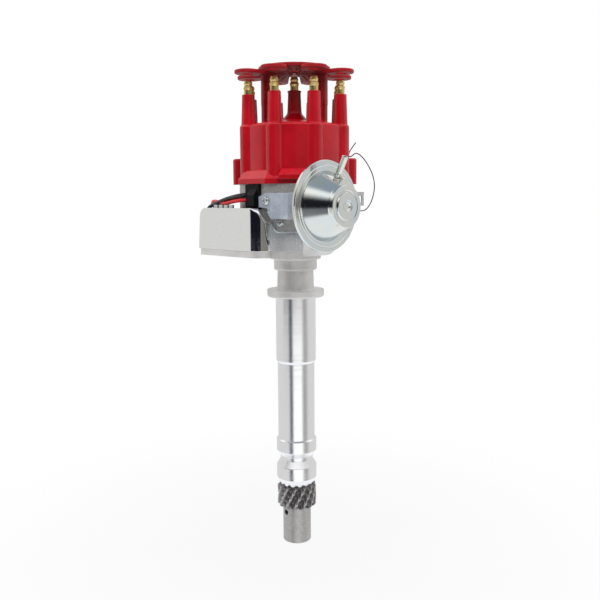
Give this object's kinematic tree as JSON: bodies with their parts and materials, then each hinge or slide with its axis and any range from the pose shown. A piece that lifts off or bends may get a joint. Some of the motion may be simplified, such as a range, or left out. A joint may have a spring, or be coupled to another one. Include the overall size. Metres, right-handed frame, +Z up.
{
  "type": "ignition distributor",
  "caption": "Ignition distributor: towered cap with wire retainer, cast bowl with module cover and vacuum canister, long turned shank and helical drive gear.",
  "frame": {"origin": "on the shaft axis, at the underside of the mounting collar that seats on the engine", "axes": "+Z up along the shaft towards the cap, +X along the vacuum canister's axis, -Y towards the module cover's flat face"},
  "size_m": [0.1395, 0.1088, 0.3795],
  "materials": {
    "cast_aluminium": "as cast, fine grained; bright turned below the collar",
    "bearing_bronze": "plain",
    "chrome_plate": "mirror plated",
    "black_plastic": "moulded",
    "black_rubber": "moulded",
    "red_plastic": "semi-gloss moulded",
    "black_insulation": "glossy lead insulation",
    "red_insulation": "glossy lead insulation",
    "terminal_brass": "turned",
    "zinc_steel": "zinc plated sheet",
    "screw_steel": "zinc plated",
    "tinned_blade": "tinned",
    "shaft_steel": "ground",
    "gear_iron": "machined, dark",
    "spring_steel": "plain spring steel",
    "magnet_ferrite": "sintered",
    "carbon": "pressed carbon",
    "grey_plastic": "moulded",
    "diaphragm_rubber": "coated fabric"
  },
  "bodies": {
    "body": {"housing": "cast_aluminium", "upper_bushing": "bearing_bronze", "lower_bushing": "bearing_bronze", "plate_retaining_ring": "spring_steel", "module_cover": "chrome_plate", "ignition_module": "black_plastic", "module_terminals": "tinned_blade", "wire_grommet": "black_rubber", "lead_black_front": "black_insulation", "lead_black_back": "black_insulation", "lead_red": "red_insulation", "distributor_cap": "red_plastic", "outer_terminals": "terminal_brass", "centre_terminal": "terminal_brass", "brush_spring": "spring_steel", "cap_screws": "screw_steel", "wire_retainer": "red_plastic", "retainer_screws": "screw_steel", "cover_screws": "screw_steel", "module_screws": "screw_steel", "bracket_screws": "screw_steel", "vacuum_bracket": "zinc_steel", "can_front_shell": "zinc_steel", "can_back_shell": "zinc_steel", "diaphragm": "diaphragm_rubber", "return_spring": "spring_steel", "vacuum_nipple": "zinc_steel", "terminal_clip": "grey_plastic", "spring_wire": "spring_steel"},
    "main_shaft": {"shaft": "shaft_steel", "drive_gear": "gear_iron", "roll_pin": "spring_steel", "thrust_washer": "shaft_steel", "shaft_clip": "spring_steel", "centre_cam": "shaft_steel"},
    "timing_sleeve": {"weight_plate": "zinc_steel", "reluctor": "shaft_steel", "weight_pins": "shaft_steel", "advance_springs": "spring_steel", "rotor": "black_plastic", "rotor_contact": "terminal_brass", "rotor_screws": "screw_steel"},
    "weight_a_body": {"weight_a": "zinc_steel"},
    "weight_b_body": {"weight_b": "zinc_steel"},
    "pickup": {"pickup_plate": "zinc_steel", "pickup_coil": "black_plastic", "magnet_ring": "magnet_ferrite", "pole_piece": "zinc_steel", "pickup_screws": "screw_steel"},
    "vacuum_link": {"vacuum_rod": "zinc_steel", "diaphragm_plate": "zinc_steel"},
    "brush": {"carbon_brush": "carbon"}
  },
  "joints": [
    {"name": "shaft_spin", "type": "hinge", "parent": "body", "child": "main_shaft", "pos_m": [0, 0, 0], "axis": [0, 0, 1], "continuous": true},
    {"name": "centrifugal_advance", "type": "hinge", "parent": "main_shaft", "child": "timing_sleeve", "pos_m": [0, 0, 0.07], "axis": [0, 0, 1], "range_deg": [-14, 0], "stiffness_Nm_per_rad": 0.05},
    {"name": "weight_a_swing", "type": "hinge", "parent": "timing_sleeve", "child": "weight_a_body", "pos_m": [-0.00074, 0.01698, 0.0828], "axis": [0, 0, 1], "range_deg": [0, 20]},
    {"name": "weight_b_swing", "type": "hinge", "parent": "timing_sleeve", "child": "weight_b_body", "pos_m": [0.00074, -0.01698, 0.0828], "axis": [0, 0, 1], "range_deg": [0, 20]},
    {"name": "pickup_plate_turn", "type": "hinge", "parent": "body", "child": "pickup", "pos_m": [0, 0, 0.063], "axis": [0, 0, 1], "range_deg": [0, 10], "stiffness_Nm_per_rad": 0.1},
    {"name": "vacuum_rod_slide", "type": "slide", "parent": "body", "child": "vacuum_link", "axis": [1, 0, 0], "range_m": [0, 0.0055]},
    {"name": "brush_slide", "type": "slide", "parent": "body", "child": "brush", "axis": [0, 0, 1], "range_m": [0, 0.0015], "stiffness_N_per_m": 20, "deforming": ["brush_spring"]}
  ],
  "couplings": [
    {"joint": "weight_a_swing", "follows": "centrifugal_advance", "ratio": -1.4286},
    {"joint": "weight_b_swing", "follows": "centrifugal_advance", "ratio": -1.4286},
    {"joint": "vacuum_rod_slide", "follows": "pickup_plate_turn", "m_per_rad": 0.031}
  ]
}
